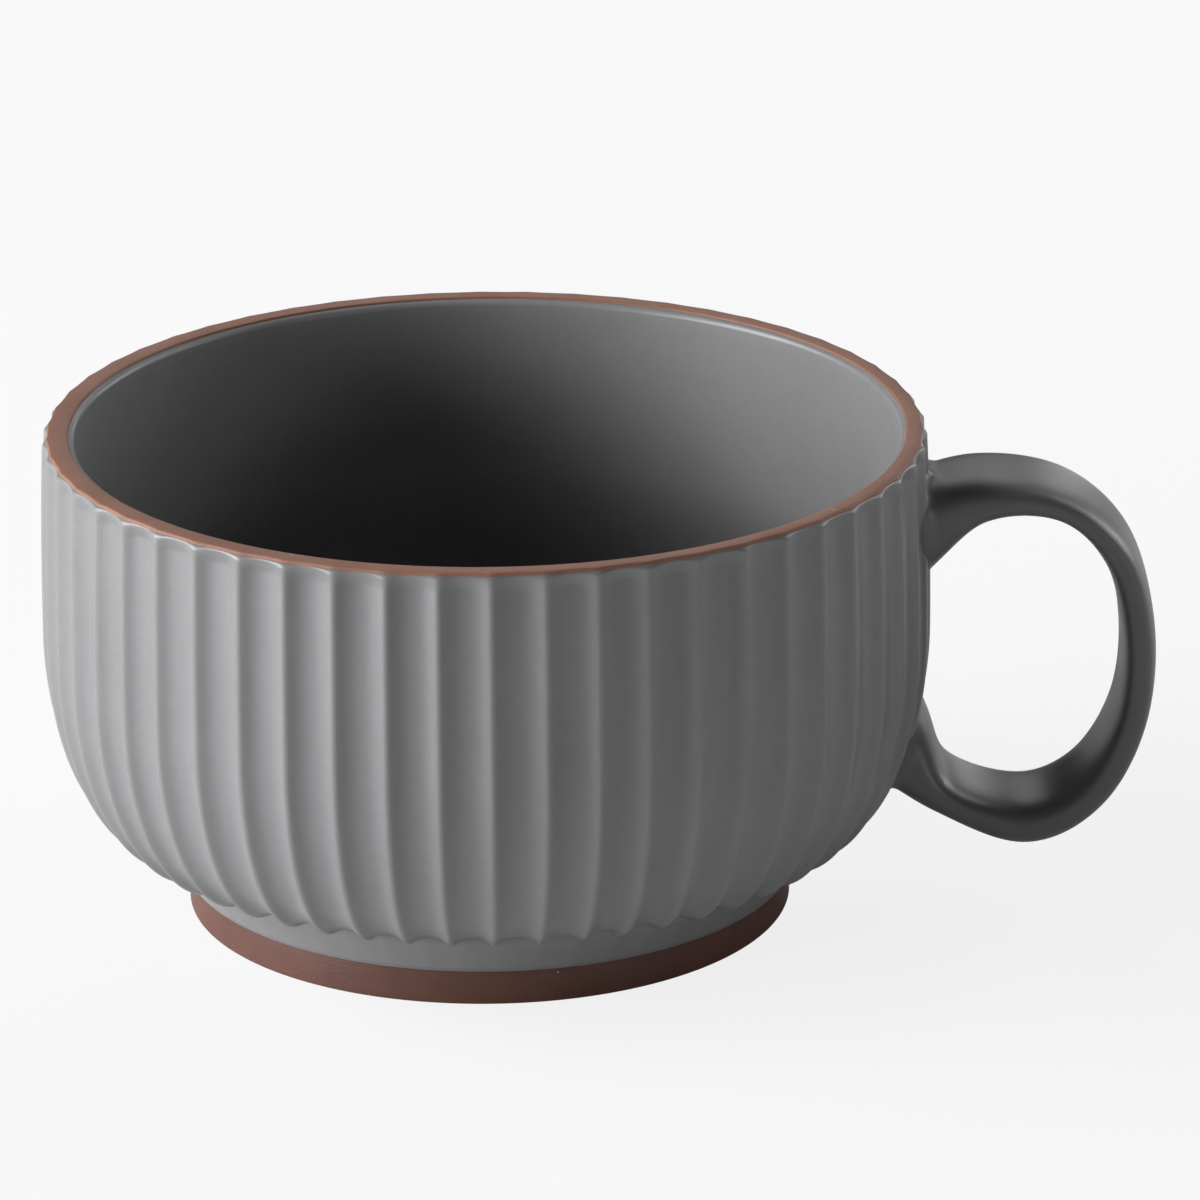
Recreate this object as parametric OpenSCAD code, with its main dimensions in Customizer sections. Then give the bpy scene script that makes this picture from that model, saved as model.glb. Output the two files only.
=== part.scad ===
// Soup mug: a fluted stoneware bowl on a turned foot ring, with a strap handle.
// Lengths in mm. The origin is the centre of the foot's underside, +Z up, the handle towards +X.

/* [Bowl] */
// Height from the table to the top of the lip
mug_h = 74.3; // [69:0.5:82]
// Widest diameter, over the flute crests
belly_d = 132.8; // [128:0.2:142]
// Height of the widest point
belly_z = 43.2; // [41:0.5:47]
// How far the glaze's top edge lies inside the widest point, at the crests
rim_in = 0.7; // [0:0.1:3]
// Thickness of the bare lip
lip_t = 3; // [2.6:0.1:4]
// Height of the bare lip over the outside glaze
lip_h = 0.5; // [0.5:0.1:1.2]
// Rounding of the lip's edges
lip_round = 0.25; // [0.1:0.05:0.25]
// Height of the bare lip over the inside glaze
lip_in_h = 1; // [0.8:0.1:2]
// Wall thickness at the widest point, crest to inside
belly_wall_t = 4.5; // [3.8:0.1:6]
// Height of the inside floor at the centre
floor_z = 9.2; // [8:0.1:11]
// Thickness of the fired glaze
glaze_t = 0.35; // [0.2:0.05:0.5]

/* [Flutes] */
// Number of flutes round the bowl
flute_n = 54; // [44:1:54]
// Depth of a flute below its crests
flute_depth = 1.2; // [0.6:0.1:1.4]
// Height at which a flute's floor ends, above the plain band
flute_z = 12.3; // [11.9:0.1:14]
// How far a crest's tip hangs below the flute's floor
crest_drop = 1; // [0.4:0.1:1.2]
// Diameter over the crests where the flutes end
flute_end_d = 101.7; // [100:0.2:106]
// Angle of the first crest from the handle
flute_turn = -2.1; // [-3.3:0.1:3.3]
// Length over which the flutes run out under the lip
runout_h = 2; // [1.5:0.5:5]

/* [Foot] */
// Outer diameter of the foot ring
foot_d = 90.8; // [84:0.2:92]
// Height of the foot ring
foot_h = 5.4; // [4:0.1:6.5]
// Radial width of the foot ring
foot_w = 6; // [4:0.5:9]
// Rounding of the foot ring's lower edges
foot_round = 0.8; // [0.4:0.1:1.2]
// How far the bowl's glaze edge stands out over the foot ring
foot_step = 0.65; // [0.5:0.05:1.2]
// Height of the plain band's upper edge
band_z = 10.6; // [9:0.1:10.6]
// Diameter of the plain band's upper edge
band_d = 97.6; // [94:0.2:99]

/* [Handle] */
// Reach of the strap's centre line out from the wall
handle_reach = 32.4; // [28:0.5:40]
// Height of the centre line's lowest point
handle_z = 12.8; // [12:0.2:15]
// Depth of the centre line's highest point below the top of the lip
handle_drop = 10.5; // [9.5:0.2:15]
// Thickness of the strap away from its roots
strap_t = 5.3; // [4.5:0.1:7]
// Width of the strap
strap_w = 19; // [15:0.5:22]
// Thickness of the slip that lutes the strap to the crests
joint_t = 0.4; // [0.2:0.1:0.8]
// Gap left round the glaze inside the foot ring
skin_gap = 0.05; // [0.02:0.01:0.2]

/* [Hidden] */
$fn = 96;

// Position across one flute, and how deep the surface lies there
flute_shares = [[0, 0], [0.22, 0.72], [0.5, 1], [0.78, 0.72]];
// Depth the flutes keep at the glaze's top edge
rim_depth_share = 0.55;
// Roundness of the bowl's inside, where its floor turns up into the wall
inside_share = 5;
// Bulge of the bowl's inside
inside_bulge_share = 3;
// Heights of the bowl's rows between the flutes' end and the widest point
low_shares = [0.034, 0.134, 0.293, 0.5, 0.75, 1];
// Height of one more row above the widest point
high_share = 0.55;
// Centre line of the strap, top root to lower root, as parts of its reach and height
strap_mid_shares = [[-0.16, 0.8735], [0.2235, 1], [0.618, 0.983], [0.888, 0.829], [0.998, 0.5835],
    [0.974, 0.313], [0.8, 0.094], [0.507, 0], [0.132, 0.085], [-0.095, 0.2495]];
// Thickness of the strap at the same places
strap_swell_shares = [2.71, 1.38, 0.83, 0.9, 0.97, 0.99, 1.13, 1.29, 1.07, 2.46];
// Squareness of the strap's section
strap_square_share = 0.625;
// Colours
clay_colour = [0.42, 0.27, 0.22];
glaze_colour = [0.42, 0.42, 0.43];

belly_r = belly_d / 2;
rim_r = belly_r - rim_in;
foot_r = foot_d / 2;
glaze_z = mug_h - lip_h;
in_glaze_z = mug_h - lip_in_h;
in_rim_r = rim_r - lip_t;
in_belly_r = belly_r - belly_wall_t;
in_low_r = flute_end_d / 2 - belly_wall_t;
handle_h = mug_h - handle_drop - handle_z;
clay_share = 1 - glaze_t / belly_r;
strap_steps = 3;
strap_sides = 20;
strap_last = (len(strap_mid_shares) - 1) * strap_steps;
root_stations = 2 * strap_steps;
inside_steps = 24;

// Radius over the crests at height z, on the glaze
function belly_rise(u) = sqrt(1 - pow(1 - u, 2));
function low_z(share) = flute_z + (belly_z - flute_z) * share;
function crest_r(z) = z < belly_z
    ? flute_end_d / 2 + (belly_r - flute_end_d / 2) * belly_rise((z - flute_z) / (belly_z - flute_z))
    : belly_r - (belly_r - rim_r) * pow((z - belly_z) / (glaze_z - belly_z), 2);

// Rows of the fluted wall: height, radius, depth share, tip drop
rows = concat(
    [[foot_h, foot_r + foot_step, 0, 0], [band_z, band_d / 2, 0, 0],
        [flute_z, crest_r(flute_z), 1, crest_drop]],
    [for (s = low_shares) [low_z(s), crest_r(low_z(s)), 1, 0]],
    [[belly_z + (glaze_z - belly_z) * high_share, crest_r(belly_z + (glaze_z - belly_z) * high_share), 1, 0],
        [glaze_z - runout_h, crest_r(glaze_z - runout_h), 1, 0],
        [glaze_z, rim_r, rim_depth_share, 0]]);
columns = flute_n * len(flute_shares);

function column_angle(j) = flute_turn
    + (floor(j / len(flute_shares)) + flute_shares[j % len(flute_shares)][0]) * 360 / flute_n;
function column_depth(j) = flute_shares[j % len(flute_shares)][1];
function wall_point(row, j, scale_share) =
    let (r = row[1] * scale_share * (1 - column_depth(j) * row[2] * flute_depth / belly_r),
        a = column_angle(j))
    [r * cos(a), r * sin(a), row[0] - row[3] * (1 - column_depth(j))];
function wall_points(scale_share) =
    [for (row = rows) for (j = [0 : columns - 1]) wall_point(row, j, scale_share)];

// Are the two rows alike, so that the faces between them are flat
function flat_between(i) = rows[i][2] == rows[i + 1][2] && rows[i][3] == rows[i + 1][3];
function grid_faces(start, across, i, flat) =
    [for (j = [0 : across - 1])
        let (k = (j + 1) % across, a = start + i * across + j, b = start + i * across + k,
            c = b + across, d = a + across)
        each flat ? [[a, d, c, b]] : [[a, d, c], [a, c, b]]];
function turned(faces) = [for (f = faces) [for (i = [len(f) - 1 : -1 : 0]) f[i]]];
function wall_faces(start) =
    [for (i = [0 : len(rows) - 2]) each grid_faces(start, columns, i, flat_between(i))];

// The bowl's outside as a full body, fluted
module fluted_body(scale_share) {
    last = (len(rows) - 1) * columns;
    polyhedron(wall_points(scale_share), concat(
        wall_faces(0),
        [[for (j = [0 : columns - 1]) j]],
        [[for (j = [columns - 1 : -1 : 0]) last + j]]));
}

// The bowl's outside over the crests, smooth, grown by a thickness
module crest_body(grow) {
    rotate_extrude()
        polygon(concat([[0, foot_h]],
            [for (row = rows) [row[1] + grow, row[0]]],
            [[0, glaze_z]]));
}

// The space inside the bowl, grown by a thickness
function inside_rise(z, grow) = (z - floor_z + grow) / (belly_z - floor_z + grow);
function inside_low_r(u, grow) = (in_low_r + grow) * pow(1 - pow(1 - u, inside_share), 1 / inside_share)
    + (in_belly_r - in_low_r) * (1 - pow(1 - u, inside_bulge_share));
function inside_r(z, grow) = z < belly_z
    ? inside_low_r(inside_rise(z, grow), grow)
    : in_belly_r + grow + (in_rim_r - in_belly_r) * pow((z - belly_z) / (in_glaze_z - belly_z), 2);
function inside_z(i, grow) = floor_z - grow + (belly_z - floor_z + grow) * pow(i / inside_steps, 3);
module inside_space(grow, top) {
    rotate_extrude()
        polygon(concat(
            [for (i = [0 : inside_steps]) [i == 0 ? 0 : inside_r(inside_z(i, grow), grow), inside_z(i, grow)]],
            [for (u = [0.5, 1]) let (z = belly_z + (in_glaze_z - belly_z) * u) [inside_r(z, grow), z]],
            [[in_rim_r + grow, top], [0, top]]));
}

// Points of a smooth line through a table, one table step divided
function end_held(t, i) = i < 0 ? 2 * t[0] - t[1] : i >= len(t) ? 2 * t[len(t) - 1] - t[len(t) - 2] : t[i];
function smooth(t, s) =
    let (i = min(floor(s / strap_steps), len(t) - 2), u = s / strap_steps - i,
        a = end_held(t, i - 1), b = t[i], c = t[i + 1], d = end_held(t, i + 2))
    (2 * b + (c - a) * u + (2 * a - 5 * b + 4 * c - d) * u * u + (3 * b - a - 3 * c + d) * u * u * u) / 2;
function strap_z(share) = handle_z + handle_h * share;
function strap_wall_r(s) =
    let (top = crest_r(strap_z(strap_mid_shares[0][1])),
        low = crest_r(strap_z(strap_mid_shares[len(strap_mid_shares) - 1][1])))
    top + (low - top) * s / strap_last;
function strap_mid(s) =
    let (m = smooth(strap_mid_shares, s)) [strap_wall_r(s) + handle_reach * m[0], strap_z(m[1])];
function strap_out(s) =
    let (p = strap_mid(max(s - 1, 0)), q = strap_mid(min(s + 1, strap_last)), v = (q - p) / norm(q - p))
    [-v[1], v[0]];
function square_off(v) = sign(v) * pow(abs(v), strap_square_share);
function strap_ring(s, inset) =
    let (m = strap_mid(s), n = strap_out(s), swell = smooth(strap_swell_shares, s))
    [for (j = [0 : strap_sides - 1])
        let (a = 360 * (j + 1 / 2) / strap_sides, h = (strap_t * swell / 2 - inset) * square_off(cos(a)))
        [m[0] + n[0] * h, (strap_w / 2 - inset) * square_off(sin(a)), m[1] + n[1] * h]];
function strap_points(inset, first, last) = [for (s = [first : last]) each strap_ring(s, inset)];
function strap_faces(start, count) =
    [for (i = [0 : count - 1]) each turned(grid_faces(start, strap_sides, i, false))];

// The strap between two stations as a full body, drawn in by a thickness
module strap_body(inset, first, last) {
    count = last - first;
    polyhedron(strap_points(inset, first, last), concat(
        strap_faces(0, count),
        [[for (j = [strap_sides - 1 : -1 : 0]) j]],
        [[for (j = [0 : strap_sides - 1]) count * strap_sides + j]]));
}

module bowl_clay() {
    color(clay_colour)
        difference() {
            fluted_body(clay_share);
            inside_space(glaze_t, mug_h);
        }
}

module rim_band() {
    color(clay_colour)
        intersection() {
            rotate_extrude()
                translate([in_rim_r, 0]) {
                    translate([0, in_glaze_z]) square([glaze_t, lip_in_h - lip_round]);
                    translate([0, glaze_z]) square([lip_t, lip_h - lip_round]);
                    translate([lip_round, glaze_z]) square([lip_t - 2 * lip_round, lip_h]);
                    for (x = [lip_round, lip_t - lip_round])
                        translate([x, mug_h - lip_round]) circle(lip_round);
                }
            translate([0, 0, in_glaze_z])
                linear_extrude(lip_in_h)
                    polygon([for (j = [0 : columns - 1])
                        let (p = wall_point([glaze_z, rim_r + skin_gap, rim_depth_share, 0], j, 1)) [p[0], p[1]]]);
        }
}

module foot_ring() {
    color(clay_colour)
        rotate_extrude()
            translate([foot_r - foot_w, 0]) {
                translate([foot_round, 0]) square([foot_w - 2 * foot_round, foot_h]);
                translate([0, foot_round]) square([foot_w, foot_h - foot_round]);
                for (x = [foot_round, foot_w - foot_round])
                    translate([x, foot_round]) circle(foot_round);
            }
}

module outer_glaze() {
    count = len(rows) * columns;
    top = (len(rows) - 1) * columns;
    color(glaze_colour)
        difference() {
            polyhedron(concat(wall_points(1), wall_points(clay_share)), concat(
                wall_faces(0),
                turned(wall_faces(count)),
                [for (j = [0 : columns - 1]) let (k = (j + 1) % columns) [j, k, count + k, count + j]],
                [for (j = [0 : columns - 1]) let (k = (j + 1) % columns)
                    [top + k, top + j, count + top + j, count + top + k]]));
            strap_body(0, 0, root_stations);
            strap_body(0, strap_last - root_stations, strap_last);
        }
}

module inner_glaze() {
    color(glaze_colour)
        difference() {
            inside_space(glaze_t, in_glaze_z);
            inside_space(0, mug_h);
        }
}

module well_glaze() {
    color(glaze_colour)
        translate([0, 0, foot_h - glaze_t])
            cylinder(h = glaze_t, r = foot_r - foot_w - skin_gap);
}

module handle_clay() {
    color(clay_colour)
        difference() {
            strap_body(glaze_t, 0, strap_last);
            crest_body(joint_t);
        }
}

module handle_glaze() {
    count = (strap_last + 1) * strap_sides;
    last = strap_last * strap_sides;
    color(glaze_colour)
        difference() {
            polyhedron(
                concat(strap_points(0, 0, strap_last), strap_points(glaze_t, 0, strap_last)),
                concat(
                    strap_faces(0, strap_last),
                    turned(strap_faces(count, strap_last)),
                    [for (j = [0 : strap_sides - 1]) let (k = (j + 1) % strap_sides) [k, j, count + j, count + k]],
                    [for (j = [0 : strap_sides - 1]) let (k = (j + 1) % strap_sides)
                        [last + j, last + k, count + last + k, count + last + j]]));
            crest_body(joint_t);
        }
}

// Slip filling the flutes between the strap's root and the bowl
module joint_slip(first, last) {
    color(clay_colour)
        difference() {
            intersection() {
                strap_body(0, first, last);
                crest_body(joint_t);
            }
            fluted_body(clay_share);
        }
}

module upper_joint_slip() {
    joint_slip(0, root_stations);
}

module lower_joint_slip() {
    joint_slip(strap_last - root_stations, strap_last);
}

bowl_clay();
rim_band();
foot_ring();
outer_glaze();
inner_glaze();
well_glaze();
handle_clay();
handle_glaze();
upper_joint_slip();
lower_joint_slip();
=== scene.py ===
import math
import random

import bmesh
import bpy
from mathutils import Matrix, Vector


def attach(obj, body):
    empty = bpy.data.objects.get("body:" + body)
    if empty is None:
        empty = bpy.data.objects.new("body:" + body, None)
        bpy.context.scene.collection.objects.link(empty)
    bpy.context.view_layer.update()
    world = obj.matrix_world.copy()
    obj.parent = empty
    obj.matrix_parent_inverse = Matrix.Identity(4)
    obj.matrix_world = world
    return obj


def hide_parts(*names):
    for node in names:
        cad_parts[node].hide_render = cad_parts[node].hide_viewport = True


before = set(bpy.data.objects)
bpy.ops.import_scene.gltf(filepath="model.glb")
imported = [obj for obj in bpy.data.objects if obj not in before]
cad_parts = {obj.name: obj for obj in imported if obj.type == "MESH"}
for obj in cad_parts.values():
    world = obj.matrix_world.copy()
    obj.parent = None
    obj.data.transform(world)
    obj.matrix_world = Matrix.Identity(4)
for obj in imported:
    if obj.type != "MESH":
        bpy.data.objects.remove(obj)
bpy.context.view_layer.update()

# The clay bowl: a stoneware shell pressed in a fluted mould, with a thick base. Glaze, lip
# and foot cover all of it, so it lies a little under the glaze.
mm = 0.001
mug_h = 74.3 * mm
belly_r = 66.4 * mm
belly_z = 43.2 * mm
rim_r = 65.7 * mm
lip_t = 3.0 * mm
lip_h = 0.5 * mm
lip_in_h = 1.0 * mm
glaze_t = 0.35 * mm
glaze_z = mug_h - lip_h
flute_z = 12.3 * mm
flute_end_r = 50.85 * mm
flute_depth = 1.2 * mm
foot_h = 5.4 * mm
band_z = 10.6 * mm
band_low_r = 46.05 * mm
band_r = 48.8 * mm
wall_t = 4.5 * mm
floor_z = 9.2 * mm
in_rim_r = rim_r - lip_t
in_belly_r = belly_r - wall_t
in_low_r = flute_end_r - wall_t
in_glaze_z = mug_h - lip_in_h
corner_power = 5
smooth_turns = 288
merge_gap = 0.002 * mm


def ease(value):
    value = min(max(value, 0.0), 1.0)
    return value * value * (3 - 2 * value)


def steps(low, high, count):
    return [low + (high - low) * i / count for i in range(count)]


def crest_radius(z):
    if z < flute_z:
        return flute_end_r
    if z < belly_z:
        rise = (z - flute_z) / (belly_z - flute_z)
        return flute_end_r + (belly_r - flute_end_r) * math.sqrt(1 - (1 - rise) ** 2)
    return belly_r - (belly_r - rim_r) * ((z - belly_z) / (glaze_z - belly_z)) ** 2


def inside_radius(z, grow):
    low = floor_z - grow
    if z < belly_z:
        drop = 1 - (z - low) / (belly_z - low)
        corner = (1 - drop ** corner_power) ** (1 / corner_power)
        return (in_low_r + grow) * corner + (in_belly_r - in_low_r) * (1 - drop ** 3)
    return in_belly_r + grow + (in_rim_r - in_belly_r) * ((z - belly_z) / (in_glaze_z - belly_z)) ** 2


def inside_side(grow, count, top):
    low = floor_z - grow
    places = [(0, low)]
    for i in range(1, count + 1):
        z = low + (belly_z - low) * (i / count) ** 3
        places.append((inside_radius(z, grow), z))
    return places + [(inside_radius(z, grow), z) for z in steps(belly_z, top, 14)[1:] + [top]]


def spun(places, turns, closed):
    mesh = bmesh.new()
    verts = [mesh.verts.new((r, 0, z)) for r, z in places]
    edges = [mesh.edges.new(pair) for pair in zip(verts, verts[1:])]
    if closed:
        edges.append(mesh.edges.new((verts[-1], verts[0])))
    bmesh.ops.spin(mesh, geom=verts + edges, cent=(0, 0, 0), axis=(0, 0, 1), dvec=(0, 0, 0),
                   angle=math.tau, steps=turns, use_merge=True)
    bmesh.ops.remove_doubles(mesh, verts=mesh.verts, dist=merge_gap)
    bmesh.ops.recalc_face_normals(mesh, faces=mesh.faces)
    return mesh


def finished(mesh, name, material, slot, *nodes):
    for face in mesh.faces:
        face.smooth = True
    data = bpy.data.meshes.new(name)
    mesh.to_mesh(data)
    mesh.free()
    data.materials.append(material)
    piece = bpy.data.objects.new(name, data)
    bpy.context.scene.collection.objects.link(piece)
    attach(piece, "root")
    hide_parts(*nodes)
    return piece


def node(nodes, kind, **values):
    made = nodes.new("ShaderNode" + kind)
    for name, value in values.items():
        name = name.replace("_", " ")
        if name in made.inputs:
            made.inputs[name].default_value = value
        else:
            setattr(made, name.replace(" ", "_"), value)
    return made


def noise(nodes, links, where, scale, detail, rough=0.5):
    made = node(nodes, "TexNoise", Scale=scale, Detail=detail, Roughness=rough)
    links.new(where, made.inputs["Vector"])
    return made.outputs["Fac"]


def ranged(nodes, links, value, low, high, to_low, to_high):
    made = node(nodes, "MapRange", From_Min=low, From_Max=high, To_Min=to_low, To_Max=to_high)
    links.new(value, made.inputs["Value"])
    return made.outputs["Result"]


def blended(nodes, links, factor, first, second, kind="MIX"):
    made = nodes.new("ShaderNodeMix")
    made.data_type = "RGBA"
    made.blend_type = kind
    sockets = [made.inputs[0], made.inputs[6], made.inputs[7]]
    for socket, value in zip(sockets, (factor, first, second)):
        if isinstance(value, bpy.types.NodeSocket):
            links.new(value, socket)
        else:
            socket.default_value = value
    return made.outputs[2]


def reckoned(nodes, links, kind, first, second):
    made = nodes.new("ShaderNodeMath")
    made.operation = kind
    for socket, value in zip(made.inputs, (first, second)):
        if isinstance(value, bpy.types.NodeSocket):
            links.new(value, socket)
        else:
            socket.default_value = value
    return made.outputs[0]


def effect(name, inputs, outputs):
    tree = bpy.data.node_groups.new(name, "ShaderNodeTree")
    for title, value in inputs.items():
        socket = tree.interface.new_socket(title, in_out="INPUT", socket_type="NodeSocketFloat")
        socket.default_value = value
    for title, kind in outputs.items():
        tree.interface.new_socket(title, in_out="OUTPUT", socket_type=kind)
    given, out = tree.nodes.new("NodeGroupInput"), tree.nodes.new("NodeGroupOutput")
    return tree, tree.nodes, tree.links, given, out


def placed(nodes, tree, **values):
    made = nodes.new("ShaderNodeGroup")
    made.node_tree = tree
    for name, value in values.items():
        made.inputs[name.replace("_", " ")].default_value = value
    return made


def shader(name, roughness, bump_depth):
    material = bpy.data.materials.new(name)
    material.use_nodes = True
    nodes, links = material.node_tree.nodes, material.node_tree.links
    surface = nodes["Principled BSDF"]
    surface.inputs["Roughness"].default_value = roughness
    bump = node(nodes, "Bump", Strength=1.0, Distance=bump_depth)
    links.new(bump.outputs["Normal"], surface.inputs["Normal"])
    return material, nodes, links, surface, bump


# Fired clay has a sandy grain, darker and paler patches, a few pale grits and the fine
# rings that the sponge and the turning tool leave.
grit_size = 0.13
grit_rarity = 0.7
grit_colour = (0.5, 0.4, 0.33, 1)
clay_grain, nodes, links, given, out = effect(
    "clay_grain", {"Patches": 0.1, "Grits": 1.0, "Rings": 0.5},
    {"Shade": "NodeSocketFloat", "Grit": "NodeSocketFloat", "Height": "NodeSocketFloat"})
where = nodes.new("ShaderNodeTexCoord").outputs["Object"]
patches = noise(nodes, links, where, 90, 5, 0.6)
sand = noise(nodes, links, where, 1900, 3, 0.6)
shade = ranged(nodes, links, patches, 0.25, 0.75, -1, 1)
shade = reckoned(nodes, links, "MULTIPLY", shade, given.outputs["Patches"])
shade = reckoned(nodes, links, "ADD", shade, ranged(nodes, links, sand, 0.3, 0.7, 0.94, 1.06))
links.new(shade, out.inputs["Shade"])
grits = node(nodes, "TexVoronoi", Scale=620, Randomness=1.0)
links.new(where, grits.inputs["Vector"])
rarity = noise(nodes, links, where, 260, 1)
grit = reckoned(nodes, links, "LESS_THAN", grits.outputs["Distance"], grit_size)
grit = reckoned(nodes, links, "MULTIPLY", grit, reckoned(nodes, links, "GREATER_THAN", rarity, grit_rarity))
grit = reckoned(nodes, links, "MULTIPLY", grit, given.outputs["Grits"])
links.new(grit, out.inputs["Grit"])
squash = node(nodes, "Mapping")
squash.inputs["Scale"].default_value = (0.04, 0.04, 1)
links.new(where, squash.inputs["Vector"])
rings = reckoned(nodes, links, "MULTIPLY", noise(nodes, links, squash.outputs["Vector"], 2600, 2),
                 given.outputs["Rings"])
height = reckoned(nodes, links, "ADD", rings, reckoned(nodes, links, "MULTIPLY", sand, 0.6))
links.new(reckoned(nodes, links, "ADD", height, grit), out.inputs["Height"])


clay_bump = 0.05 * mm
clay_gloss = 0.3
clay_rough_spread = 0.08


def bare_clay(name, colour, patches, rings, roughness):
    material, nodes, links, surface, bump = shader(name, roughness, clay_bump)
    surface.inputs["Specular IOR Level"].default_value = clay_gloss
    grain = placed(nodes, clay_grain, Patches=patches, Rings=rings)
    body = blended(nodes, links, 1.0, colour, grain.outputs["Shade"], "MULTIPLY")
    body = blended(nodes, links, grain.outputs["Grit"], body, grit_colour)
    links.new(body, surface.inputs["Base Color"])
    links.new(grain.outputs["Height"], bump.inputs["Height"])
    rough = ranged(nodes, links, grain.outputs["Shade"], 0.8, 1.2,
                   roughness + clay_rough_spread, roughness - clay_rough_spread)
    links.new(rough, surface.inputs["Roughness"])
    return material


body_clay = bare_clay("body_clay", (0.22, 0.115, 0.085, 1), 0.12, 0.3, 0.7)
lip_clay = bare_clay("sponged_clay", (0.26, 0.128, 0.088, 1), 0.1, 0.25, 0.55)
# The foot's clay is the lip's clay at well under half the brightness: painted shade for the foot under the
# belly.
shaded_foot_clay = bare_clay("turned_clay", (0.108, 0.048, 0.035, 1), 0.14, 0.9, 0.5)

glaze_rise = 1.1 * mm
under_z = steps(foot_h, glaze_z, 40)
under = [((crest_radius(z - glaze_rise) - flute_depth if z > flute_z + glaze_rise else band_low_r)
          - 2 * glaze_t, z) for z in under_z]
bowl = spun([(0, foot_h)] + under + [(rim_r - flute_depth, glaze_z - lip_h),
                                     (in_rim_r + 2 * glaze_t, glaze_z - lip_h)]
            + inside_side(3 * glaze_t, 24, in_glaze_z - lip_in_h)[::-1], smooth_turns, False)
finished(bowl, "clay_bowl", body_clay, "bare_clay", "bowl_clay")


# The lip: the wall's top edge wiped clean of glaze, so the red-brown clay shows. It is
# nearly flat with softened edges, and the flutes still run out over its outer edge.
flute_count = 54
columns_per_flute = 14
flute_turn = math.radians(-1.8)
crest_softness = 0.05
cove_power = 2.3
rim_depth_share = 0.55
runout_h = 2.2 * mm
arch_h = 0.7 * mm
crest_drop = 1.0 * mm
arch_lift = 0.85 * mm
ledge_h = 0.6 * mm
spoon_share = 0.65
spoon_h = 4.5 * mm
drip_bulge = 0.15 * mm
drip_h = 1.2 * mm
drip_rise = 0.1 * mm
hang_h = 2 * mm
sag_top_h = 1 * mm
sag_fade_h = 7 * mm
press = random.Random(7)
crest_angles = [flute_turn + math.tau * (k + press.uniform(-0.03, 0.03)) / flute_count
                for k in range(flute_count)]
crest_angles.append(crest_angles[0] + math.tau)
flute_shares = [press.uniform(0.92, 1.08) for k in range(flute_count)]


def cove(across):
    from_crest = min(across, 1 - across)
    rounded = math.hypot(from_crest, crest_softness) - crest_softness
    rounded *= 0.5 / (math.hypot(0.5, crest_softness) - crest_softness)
    return 1 - (1 - 2 * rounded) ** cove_power


def arch_sag(z, deep):
    reach = ease((z - foot_h) / (flute_z - ledge_h - foot_h))
    reach *= 1 - ease((z - flute_z - sag_top_h) / sag_fade_h)
    return (crest_drop * (1 - deep) - arch_lift) * reach


def band_radius(z):
    return band_low_r + (band_r - band_low_r) * min((z - foot_h) / (band_z - foot_h), 1.0) ** 1.2


def wall_radius(z, across, depth_share=1.0, level=None):
    level = z if level is None else level
    deep = cove(across)
    arch_top = glaze_z - arch_h * (1 - deep)
    keep = 1 - (1 - rim_depth_share) * ease((z - arch_top + runout_h) / runout_h)
    keep *= 1 - spoon_share * (1 - ease((level - flute_z) / spoon_h))
    fluted = crest_radius(level) * (1 - flute_depth * depth_share * keep * deep / belly_r)
    if level > flute_z + hang_h:
        return fluted
    near_edge = 1 - ease(abs(level - flute_z - drip_rise) / drip_h)
    fluted += drip_bulge * near_edge * (1 - deep) ** 2
    plain = band_radius(z)
    return plain + max(fluted - plain, 0.0) * ease((level - flute_z + ledge_h) / ledge_h)


def flute_place(x, y):
    turn = ((math.atan2(y, x) - flute_turn) % math.tau) / math.tau * flute_count
    k = int(turn + 1e-6) % flute_count
    return k, min(max(turn - int(turn + 1e-6), 0.0), 1.0)


def press_flutes(mesh, place_at):
    thin = mesh.verts.layers.float.new("thin")
    for vert in mesh.verts:
        x, y, z = vert.co
        k, across = flute_place(x, y)
        angle = crest_angles[k] + across * (crest_angles[k + 1] - crest_angles[k])
        r, z = place_at(math.hypot(x, y), z, across, flute_shares[k])
        vert.co = (r * math.cos(angle), r * math.sin(angle), z)
        vert[thin] = (1 - cove(across)) ** 2


def lip_place(r, z, across, depth_share):
    cut = wall_radius(glaze_z, 0) - wall_radius(glaze_z, across, depth_share)
    return r - lip_cut_share * cut * min(max((r - lip_out_r) / lip_bevel + 1, 0.0), 1.0), z


def fluted_spin(places):
    mesh = spun(places, flute_count * columns_per_flute, True)
    bmesh.ops.rotate(mesh, verts=mesh.verts, cent=(0, 0, 0), matrix=Matrix.Rotation(flute_turn, 3, "Z"))
    return mesh


def rounded_corner(r, z, size, start, count=6):
    turns = [math.radians(start + 90 * i / count) for i in range(count + 1)]
    return [(r + size * math.cos(a), z + size * math.sin(a)) for a in turns]


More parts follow.
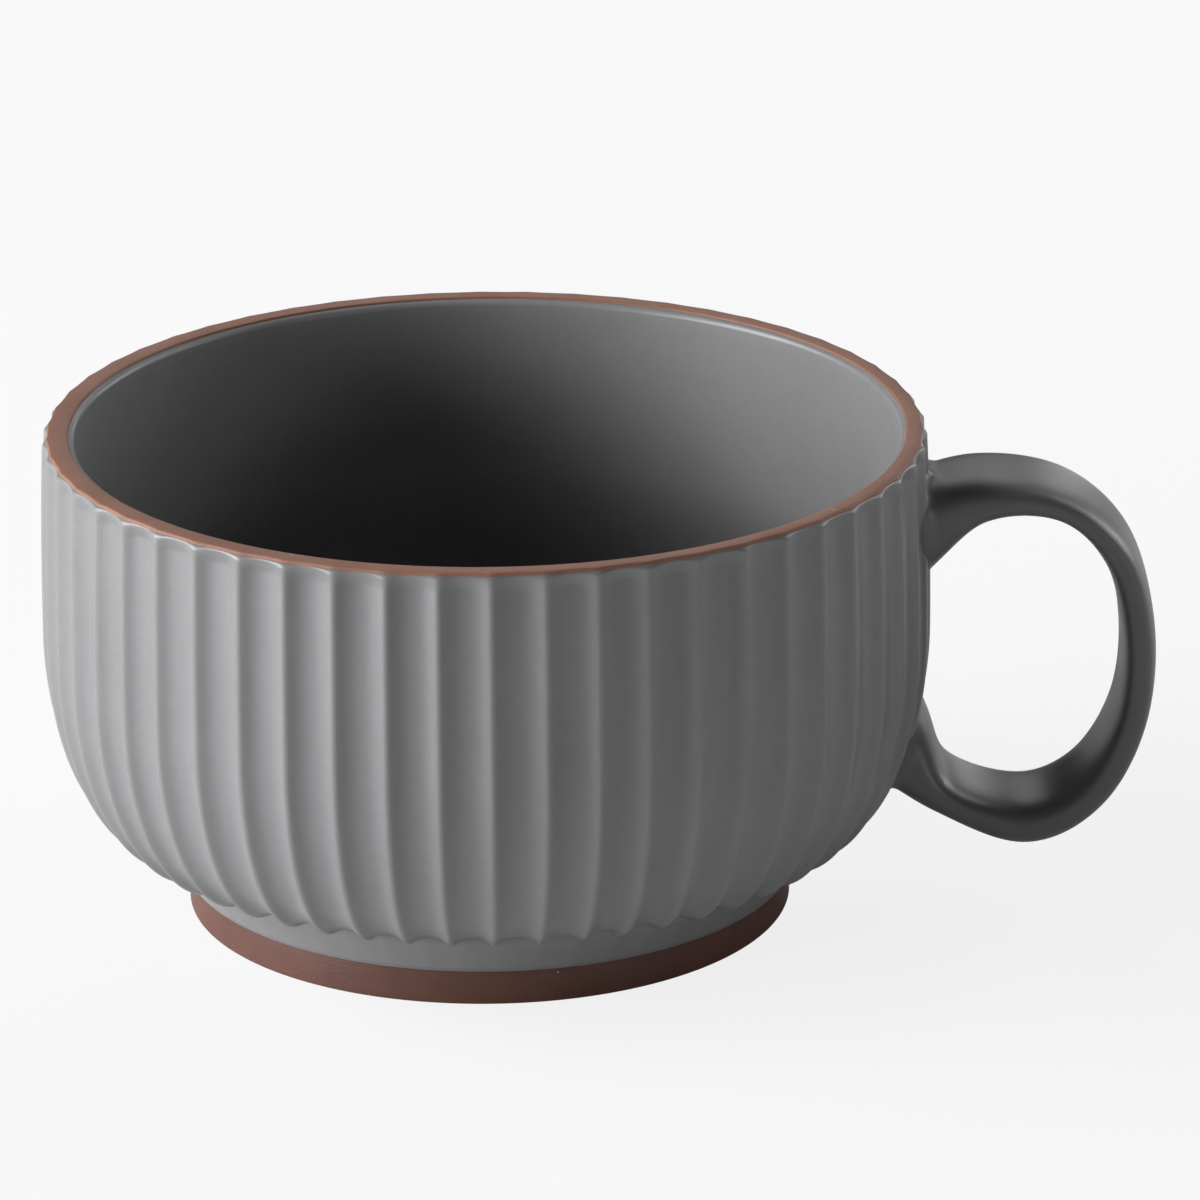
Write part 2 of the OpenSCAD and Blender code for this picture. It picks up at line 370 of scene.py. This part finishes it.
lip_round = 0.4 * mm
lip_bevel = 0.9 * mm
lip_cut_share = 0.4
lip_out_r = rim_r - 0.5 * mm
lip_in_r = in_rim_r - 0.2 * mm
lip_in_low_r = in_rim_r - 0.5 * mm
lip_in_round = 0.4 * mm
lip_crown = 0.06 * mm
lip_edge_h = 0.1 * mm
lip_lap = 0.3 * mm
inner_shift = 0.4 * mm
lip_top = [(lip_out_r - lip_round + (lip_in_r - lip_out_r + lip_round) * share,
            mug_h + lip_crown * math.sin(math.pi * share) - lip_crown) for share in (0.2, 0.4, 0.6, 0.8)]
lip_inside = [(lip_in_r + (lip_in_low_r - lip_in_r) * math.sin(math.radians(a)),
               mug_h - lip_crown - lip_in_round * (1 - math.cos(math.radians(a))))
              for a in range(0, 91, 15)]
lip = fluted_spin([(lip_out_r, glaze_z - lip_lap), (lip_out_r, glaze_z - lip_edge_h)]
                  + rounded_corner(lip_out_r - lip_round, mug_h - lip_crown - lip_round, lip_round, 0)
                  + lip_top + lip_inside + [(lip_in_low_r, in_glaze_z - lip_lap)])
press_flutes(lip, lip_place)
flat_r = lip_out_r - lip_round
for vert in lip.verts:
    vert.co.x += inner_shift * ease((flat_r - math.hypot(vert.co.x, vert.co.y)) / (flat_r - lip_in_r))
finished(lip, "bare_lip", lip_clay, "bare_clay", "rim_band")


# The foot: a turned ring of the bowl's own clay, left bare, with softened lower edges and
# painted shade darkening its colour under the belly. The mug stands on it.
foot_r = 45.4 * mm
foot_w = 6 * mm
foot_round = 0.45 * mm
foot_top_round = 0.15 * mm
foot_in_r = foot_r - foot_w
foot = spun(rounded_corner(foot_r - foot_round, foot_round, foot_round, 270)
            + rounded_corner(foot_r - foot_top_round, foot_h - foot_top_round, foot_top_round, 0, 3)
            + rounded_corner(foot_in_r + foot_top_round, foot_h - foot_top_round, foot_top_round, 90, 3)
            + rounded_corner(foot_in_r + foot_round, foot_round, foot_round, 180), smooth_turns, True)
finished(foot, "bare_foot_ring", shaded_foot_clay, "bare_clay", "foot_ring")


# The outside glaze: one satin grey coat over the fluted wall. It hangs over the plain turned
# band in small arches between the crests, and ends in rounded edges at the foot and lip.
speck_size = 0.1
speck_rarity = 0.74
speck_colour = (0.10, 0.075, 0.06, 1)
satin_spread = 0.035
glaze_film, nodes, links, given, out = effect(
    "glaze_film", {"Clouds": 0.05, "Specks": 1.0},
    {"Shade": "NodeSocketFloat", "Speck": "NodeSocketFloat", "Satin": "NodeSocketFloat",
     "Height": "NodeSocketFloat"})
where = nodes.new("ShaderNodeTexCoord").outputs["Object"]
clouds = ranged(nodes, links, noise(nodes, links, where, 26, 4, 0.55), 0.3, 0.7, -1, 1)
clouds = reckoned(nodes, links, "MULTIPLY", clouds, given.outputs["Clouds"])
mottle = ranged(nodes, links, noise(nodes, links, where, 620, 3, 0.65), 0.3, 0.7, 0.975, 1.025)
links.new(reckoned(nodes, links, "ADD", clouds, mottle), out.inputs["Shade"])
dots = node(nodes, "TexVoronoi", Scale=480, Randomness=1.0)
links.new(where, dots.inputs["Vector"])
rarity = noise(nodes, links, where, 210, 1)
speck = reckoned(nodes, links, "LESS_THAN", dots.outputs["Distance"], speck_size)
rare = reckoned(nodes, links, "GREATER_THAN", rarity, speck_rarity)
speck = reckoned(nodes, links, "MULTIPLY", speck, rare)
speck = reckoned(nodes, links, "MULTIPLY", speck, given.outputs["Specks"])
links.new(speck, out.inputs["Speck"])
satin = noise(nodes, links, where, 75, 3, 0.6)
links.new(ranged(nodes, links, satin, 0.3, 0.7, -satin_spread, satin_spread), out.inputs["Satin"])
peel = noise(nodes, links, where, 480, 2, 0.4)
tooth = reckoned(nodes, links, "MULTIPLY", noise(nodes, links, where, 2400, 2), 0.12)
height = reckoned(nodes, links, "ADD", reckoned(nodes, links, "MULTIPLY", peel, 0.5), tooth)
links.new(reckoned(nodes, links, "SUBTRACT", height, reckoned(nodes, links, "MULTIPLY", speck, 0.8)),
          out.inputs["Height"])


glaze_bump = 0.035 * mm
# Heights between which the painted shade inside the mug fades out towards the top.
painted_shade_z = floor_z + 20 * mm
painted_shade_end_z = floor_z + 37 * mm


def satin_glaze(name, colour, roughness, thin_colour=None, painted_shade=1.0):
    material, nodes, links, surface, bump = shader(name, roughness, glaze_bump)
    film = placed(nodes, glaze_film)
    thin = node(nodes, "Attribute", attribute_name="thin").outputs["Fac"]
    coat = blended(nodes, links, thin, colour, thin_colour or colour)
    coat = blended(nodes, links, 1.0, coat, film.outputs["Shade"], "MULTIPLY")
    heights = nodes.new("ShaderNodeSeparateXYZ")
    links.new(nodes.new("ShaderNodeTexCoord").outputs["Object"], heights.inputs["Vector"])
    # Painted shade: below the given height the glaze colour darkens towards the bottom, down to the given
    # factor of its colour.
    deep_shade = ranged(nodes, links, heights.outputs["Z"], painted_shade_z, painted_shade_end_z, painted_shade, 1.0)
    coat = blended(nodes, links, 1.0, coat, deep_shade, "MULTIPLY")
    coat = blended(nodes, links, film.outputs["Speck"], coat, speck_colour)
    links.new(coat, surface.inputs["Base Color"])
    links.new(film.outputs["Height"], bump.inputs["Height"])
    rough = reckoned(nodes, links, "ADD", film.outputs["Satin"], roughness)
    links.new(rough, surface.inputs["Roughness"])
    return material


grey_glaze = satin_glaze("grey_satin_glaze", (0.2, 0.202, 0.207, 1), 0.345, (0.212, 0.213, 0.216, 1))
shoulder = 0.7 * mm
cove_shoulder = 0.3 * mm


def glaze_place(r, z, across, depth_share):
    inset = max(wall_radius(z, 0) - r, 0.0)
    level, z = z, z - arch_sag(z, cove(across))
    if z > glaze_z - shoulder and inset < glaze_t / 2:
        size = cove_shoulder + (shoulder - cove_shoulder) * (1 - cove(across))
        rise = 1 - (glaze_z - z) / shoulder
        z = glaze_z - (1 - rise) * size
        inset = size * (1 - math.sqrt(max(1 - rise * rise, 0.0)))
        return wall_radius(z, across, depth_share) - inset, z
    return wall_radius(z, across, depth_share, level) - inset, z


arch_z = flute_z - ledge_h
edge_z = flute_z + 0.3 * mm
spoon_z = flute_z + 2.4 * mm
low_wall_z = 20 * mm
runout_z = glaze_z - runout_h - arch_h
wall_heights = (steps(foot_h + glaze_t, arch_z, 9) + steps(arch_z, edge_z, 16)
                + steps(edge_z, spoon_z, 8) + steps(spoon_z, low_wall_z, 8)
                + steps(low_wall_z, belly_z, 18) + steps(belly_z, runout_z, 8)
                + steps(runout_z, glaze_z - shoulder, 11))
wall_side = [(wall_radius(z, 0), z) for z in wall_heights]
foot_edge_r = wall_radius(foot_h, 0)
shoulder_turns = [math.radians(a) for a in (0, 12, 24, 36, 48, 60, 70, 80, 90)]
shoulder_heights = [glaze_z - shoulder * (1 - math.sin(a)) for a in shoulder_turns]
wall_top = [(wall_radius(z, 0), z) for z in shoulder_heights]
wall_foot = rounded_corner(foot_edge_r - glaze_t, foot_h + glaze_t, glaze_t, 270)[:-1]
back_edge_h = 1 * mm
back_bend_z = 26 * mm
back_heights = (steps(glaze_z - back_edge_h, back_bend_z, 6)
                + steps(back_bend_z, foot_h + back_edge_h, 8))
wall_back = [(wall_radius(z, 0) - 2 * glaze_t, z) for z in back_heights]
wall = fluted_spin(wall_foot + wall_side + wall_top + wall_back)
press_flutes(wall, glaze_place)
finished(wall, "fluted_glaze", grey_glaze, "grey_glaze", "outer_glaze")


# The inside glaze: the same grey poured in and drained, smooth and even, with painted shade
# that darkens it towards the bottom. It ends in a roll just under the bare lip.
inner_grey = satin_glaze("inner_satin_glaze", (0.224, 0.225, 0.23, 1), 0.36, painted_shade=0.5)
bead_size = 0.9 * mm
bead_r = lip_in_low_r - 0.85 * mm
bead_top = mug_h - 0.4 * mm
bead_back = 1.2 * mm
bead_turns = [math.radians(a) for a in range(0, 91, 9)]
liner = spun(inside_side(0, 48, belly_z)
             + [(in_belly_r + (bead_r - in_belly_r) * share ** 2,
                 belly_z + (bead_top - bead_size - belly_z) * share) for share in steps(0, 1, 20)[1:]]
             + [(bead_r + bead_size * (1 - math.cos(a)), bead_top - bead_size * (1 - math.sin(a)))
                for a in bead_turns]
             + inside_side(2 * glaze_t, 24, in_glaze_z - bead_back)[::-1], smooth_turns, False)
for vert in liner.verts:
    vert.co.x += inner_shift * ease((vert.co.z - belly_z) / (in_glaze_z - belly_z))
finished(liner, "inner_glaze_coat", inner_grey, "grey_glaze", "inner_glaze")


# The well: the base inside the foot ring, brushed with a thin coat of the same glaze. It
# stays clear of the table.
well_r = foot_in_r - 0.05 * mm
well_top = foot_h - 0.02 * mm
well_edge_w = 0.1 * mm
well_edge_h = 0.25 * mm
well = spun([(0, foot_h - glaze_t)] + [(well_r * share, foot_h - glaze_t) for share in (0.3, 0.6, 0.9)]
            + [(well_r - glaze_t, foot_h - glaze_t), (well_r - well_edge_w, foot_h - well_edge_h),
               (well_r, well_top), (0, well_top)], smooth_turns, False)
finished(well, "glazed_well", grey_glaze, "grey_glaze", "well_glaze")


# The handle: a strap of clay cast in a mould, bent into a D and luted on with slip, then
# glazed with the bowl. The glaze pools in the hollow round each root.
strap_w = 19 * mm
strap_t = 5.3 * mm
strap_reach = 32.4 * mm
strap_low = 12.8 * mm
strap_h = 51.0 * mm
strap_sides = 72
strap_rings = 150
strap_corner = 0.625
root_fillet = 2.6 * mm
root_sunk = 1.5 * mm
fillet_rings = 7
low_smoothings = 12
low_spread = 0.1
start_inside = 0.3
place_step = 0.01
tangent_sides = 4
strap_mid_shares = ((-0.16, 0.8735), (0.2235, 1), (0.618, 0.983), (0.888, 0.829), (0.998, 0.5835),
                    (0.974, 0.313), (0.8, 0.094), (0.507, 0), (0.132, 0.085), (-0.095, 0.2495))
strap_swell_shares = (2.71, 1.38, 0.83, 0.9, 0.97, 0.99, 1.13, 1.29, 1.07, 2.46)
strap_x = [share[0] for share in strap_mid_shares]
strap_z = [share[1] for share in strap_mid_shares]
strap_last = len(strap_x) - 1
root_r = [crest_radius(strap_low + strap_h * strap_z[end]) for end in (0, -1)]


def smooth(table, place):
    i = min(max(int(place), 0), len(table) - 2)
    u = place - i
    b, c = table[i], table[i + 1]
    a = table[i - 1] if i else 2 * b - c
    d = table[i + 2] if i + 2 < len(table) else 2 * c - b
    return (2 * b + (c - a) * u + (2 * a - 5 * b + 4 * c - d) * u * u
            + (3 * b - a - 3 * c + d) * u ** 3) / 2


def strap_middle(place):
    wall_r = root_r[0] + (root_r[1] - root_r[0]) * place / strap_last
    return Vector((wall_r + strap_reach * smooth(strap_x, place), 0,
                   strap_low + strap_h * smooth(strap_z, place)))


def squared(value):
    return math.copysign(abs(value) ** strap_corner, value)


def strap_spot(place, side):
    along = (strap_middle(place + 2 * place_step) - strap_middle(place - 2 * place_step)).normalized()
    outward = Vector((-along.z, 0, along.x))
    a = math.tau * (side + 0.5) / strap_sides
    half = strap_t / 2 * smooth(strap_swell_shares, place)
    aside = Vector((0, strap_w / 2 * squared(math.sin(a)), 0))
    return strap_middle(place) + outward * half * squared(math.cos(a)) + aside


def off_wall(spot):
    across = flute_place(spot.x, spot.y)[1]
    return math.hypot(spot.x, spot.y) - wall_radius(spot.z, across)


def onto_wall(spot, sunk):
    stretch = 1 - (off_wall(spot) + sunk) / math.hypot(spot.x, spot.y)
    return Vector((spot.x * stretch, spot.y * stretch, spot.z))


def root_crossing(side, start, way):
    place = start
    while off_wall(strap_spot(place, side)) < 0:
        place += place_step * way
    return place


def fillet_start(side, place, way):
    here = strap_spot(place, side)
    reach = 0.0
    while reach < root_fillet:
        place += place_step * way
        there = strap_spot(place, side)
        reach += (there - here).length
        here = there
    return place


def root_rings(start, way):
    crossings = [root_crossing(side, start, way) for side in range(strap_sides)]
    spots = [strap_spot(place, side) for side, place in enumerate(crossings)]
    middle = sum(spots, Vector()) / strap_sides
    tops = [fillet_start(side, place, way) for side, place in enumerate(crossings)]
    rings = [[] for i in range(fillet_rings + 2)]
    aways = []
    for side, corner in enumerate(spots):
        tangent = spots[(side + tangent_sides) % strap_sides] - spots[side - tangent_sides]
        slope = (crest_radius(corner.z + 0.5 * mm) - crest_radius(corner.z - 0.5 * mm)) / mm
        facing = Vector((corner.x, corner.y, -slope * math.hypot(corner.x, corner.y))).normalized()
        away = tangent.cross(facing).normalized()
        if away.dot(corner - middle) < 0:
            away = -away
        aways.append(away)
    lows = [onto_wall(corner + away * root_fillet, 0) for corner, away in zip(spots, aways)]
    for turn in range(low_smoothings):
        lows = [(lows[side - 1] + 2 * lows[side] + lows[(side + 1) % strap_sides]) / 4
                for side in range(strap_sides)]
    for side, corner in enumerate(spots):
        low = onto_wall(lows[side], 0) if off_wall(lows[side]) > 0 else lows[side]
        top = strap_spot(tops[side], side)
        rings[0].append(onto_wall(low + (low - corner) * low_spread, root_sunk))
        for i in range(fillet_rings + 1):
            t = i / fillet_rings
            rings[i + 1].append(low * (1 - t) ** 2 + corner * 2 * t * (1 - t) + top * t ** 2)
    return rings, tops


upper_rings, upper_tops = root_rings(-start_inside, 1)
lower_rings, lower_tops = root_rings(strap_last + start_inside, -1)
between = [[strap_spot(first + (last - first) * i / strap_rings, side)
            for side, (first, last) in enumerate(zip(upper_tops, lower_tops))]
           for i in range(1, strap_rings)]
all_rings = upper_rings + between + lower_rings[::-1]

strap = bmesh.new()
ring = bmesh.ops.create_circle(strap, cap_ends=False, segments=strap_sides, radius=strap_w)["verts"]
ring_edges = list(strap.edges)
for vert, spot in zip(ring, all_rings[0]):
    vert.co = spot
bmesh.ops.holes_fill(strap, edges=ring_edges, sides=0)
for spots in all_rings[1:]:
    grown = bmesh.ops.extrude_edge_only(strap, edges=ring_edges)["geom"]
    next_verts = [part for part in grown if isinstance(part, bmesh.types.BMVert)]
    next_edges = [part for part in grown if isinstance(part, bmesh.types.BMEdge)]
    paired = {edge.other_vert(vert): vert for vert in next_verts for edge in vert.link_edges}
    ring = [paired[vert] for vert in ring]
    members = set(ring)
    ring_edges = [edge for edge in next_edges if edge.verts[0] in members and edge.verts[1] in members]
    for vert, spot in zip(ring, spots):
        vert.co = spot
bmesh.ops.holes_fill(strap, edges=ring_edges, sides=0)
bmesh.ops.recalc_face_normals(strap, faces=strap.faces)
# The handle's glaze is the bowl's grey darkened by about a third: painted shade for the handle lying in the
# bowl's shadow.
shaded_strap_glaze = satin_glaze("handle_satin_glaze", (0.135, 0.136, 0.139, 1), 0.4)
finished(strap, "strap_handle", shaded_strap_glaze, "grey_glaze", "handle_glaze")


# Under the handle's glaze: the strap's clay core, and the slip that lutes its two roots to
# the flutes.
for name in ("handle_clay", "upper_joint_slip", "lower_joint_slip"):
    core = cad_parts[name]
    core.data.materials.clear()
    core.data.materials.append(body_clay)


# The sweep of pale paper that the mug stands on: matt, with a fine tooth, and lighter to the
# camera than to the mug.
sheet_size = 6.0
sheet = bmesh.new()
bmesh.ops.create_grid(sheet, x_segments=2, y_segments=2, size=sheet_size / 2)
paper_data = bpy.data.meshes.new("paper")
sheet.to_mesh(paper_data)
sheet.free()
paper, nodes, links, surface, bump = shader("pale_paper", 0.9, 0.02 * mm)
surface.inputs["Base Color"].default_value = (0.8, 0.8, 0.8, 1)
fibres = noise(nodes, links, nodes.new("ShaderNodeTexCoord").outputs["Object"], 700, 3)
links.new(fibres, bump.inputs["Height"])
shown = 0.84
paper_white = 0.99
plain = node(nodes, "Emission", Strength=paper_white)
mix = nodes.new("ShaderNodeMixShader")
seen = nodes.new("ShaderNodeLightPath")
links.new(reckoned(nodes, links, "MULTIPLY", seen.outputs["Is Camera Ray"], shown), mix.inputs["Fac"])
links.new(surface.outputs["BSDF"], mix.inputs[1])
links.new(plain.outputs["Emission"], mix.inputs[2])
links.new(mix.outputs["Shader"], nodes["Material Output"].inputs["Surface"])
paper_data.materials.append(paper)
floor = bpy.data.objects.new("paper", paper_data)
bpy.context.scene.collection.objects.link(floor)


# The light: soft boxes low and high at the left, weaker ones at the right and behind, and a
# narrow strip behind at the right that draws the handle's edge. The backdrop is pale.
mug_middle = Vector((0, 0, 0.04))
lamp_distance = 1.3


def soft_box(name, turn, height, width, tall, power):
    lamp = bpy.data.lights.new(name, "AREA")
    lamp.shape = "RECTANGLE"
    lamp.size = width
    lamp.size_y = tall
    lamp.energy = power
    holder = bpy.data.objects.new(name, lamp)
    level = math.radians(height)
    away = Vector((math.sin(math.radians(turn)) * math.cos(level),
                   -math.cos(math.radians(turn)) * math.cos(level), math.sin(level)))
    holder.matrix_world = (Matrix.Translation(mug_middle + away * lamp_distance)
                           @ (-away).to_track_quat("-Z", "Y").to_matrix().to_4x4())
    holder.visible_camera = False
    bpy.context.scene.collection.objects.link(holder)


soft_box("left_low_front", -60, 8, 0.5, 0.5, 8.4)
soft_box("left_low", -80, 8, 0.5, 0.5, 10.2)
soft_box("left_high", -80, 30, 0.5, 0.5, 6.5)
soft_box("left_high_back", -100, 30, 0.5, 0.5, 8.0)
soft_box("right", 100, 25, 0.4, 0.4, 2.3)
soft_box("right_front", 45, 6, 0.45, 0.3, 1.6)
soft_box("right_back", 128, 15, 0.35, 0.5, 3.1)
soft_box("right_high_back", 128, 40, 0.5, 0.5, 2.1)
soft_box("edge_strip", 160, 12, 0.2, 0.6, 0.8)
soft_box("back", 180, 30, 0.5, 0.5, 1.5)

air_strength = 0.005
backdrop_grey = 0.95
world = bpy.data.worlds.new("studio")
world.use_nodes = True
bpy.context.scene.world = world
nodes, links = world.node_tree.nodes, world.node_tree.links
air = nodes["Background"]
air.inputs["Strength"].default_value = air_strength
air.inputs["Color"].default_value = (1, 1, 1, 1)
white = node(nodes, "Background", Color=(backdrop_grey, backdrop_grey, backdrop_grey, 1))
seen = nodes.new("ShaderNodeLightPath")
mix = nodes.new("ShaderNodeMixShader")
links.new(seen.outputs["Is Camera Ray"], mix.inputs["Fac"])
links.new(air.outputs["Background"], mix.inputs[1])
links.new(white.outputs["Background"], mix.inputs[2])
links.new(mix.outputs["Shader"], nodes["World Output"].inputs["Surface"])


# The camera: a long lens a little above the rim, from where the photograph was taken. Its
# tilt, roll and distance come from the circles of lip, belly and foot.
view_tilt = math.radians(20.01)
view_roll = math.radians(-0.355)
view_distance = 1.2
view_aside = 16.695 * mm
view_up = 43.738 * mm
sensor = 36
focal_pixels = 7905.62
picture_width = 1200
level_up = Vector((0, math.sin(view_tilt), math.cos(view_tilt)))
right = math.cos(view_roll) * Vector((1, 0, 0)) + math.sin(view_roll) * level_up
up = math.cos(view_roll) * level_up - math.sin(view_roll) * Vector((1, 0, 0))
ahead = Vector((0, math.cos(view_tilt), -math.sin(view_tilt)))
lens = bpy.data.cameras.new("camera")
lens.sensor_width = sensor
lens.lens = focal_pixels / picture_width * sensor
lens.clip_start = 0.05
lens.clip_end = 20
camera = bpy.data.objects.new("camera", lens)
camera.matrix_world = (Matrix.Translation(right * view_aside + up * view_up - ahead * view_distance)
                       @ Matrix((right, up, -ahead)).transposed().to_4x4())
bpy.context.scene.collection.objects.link(camera)
bpy.context.scene.camera = camera
bpy.context.scene.view_settings.view_transform = "Standard"
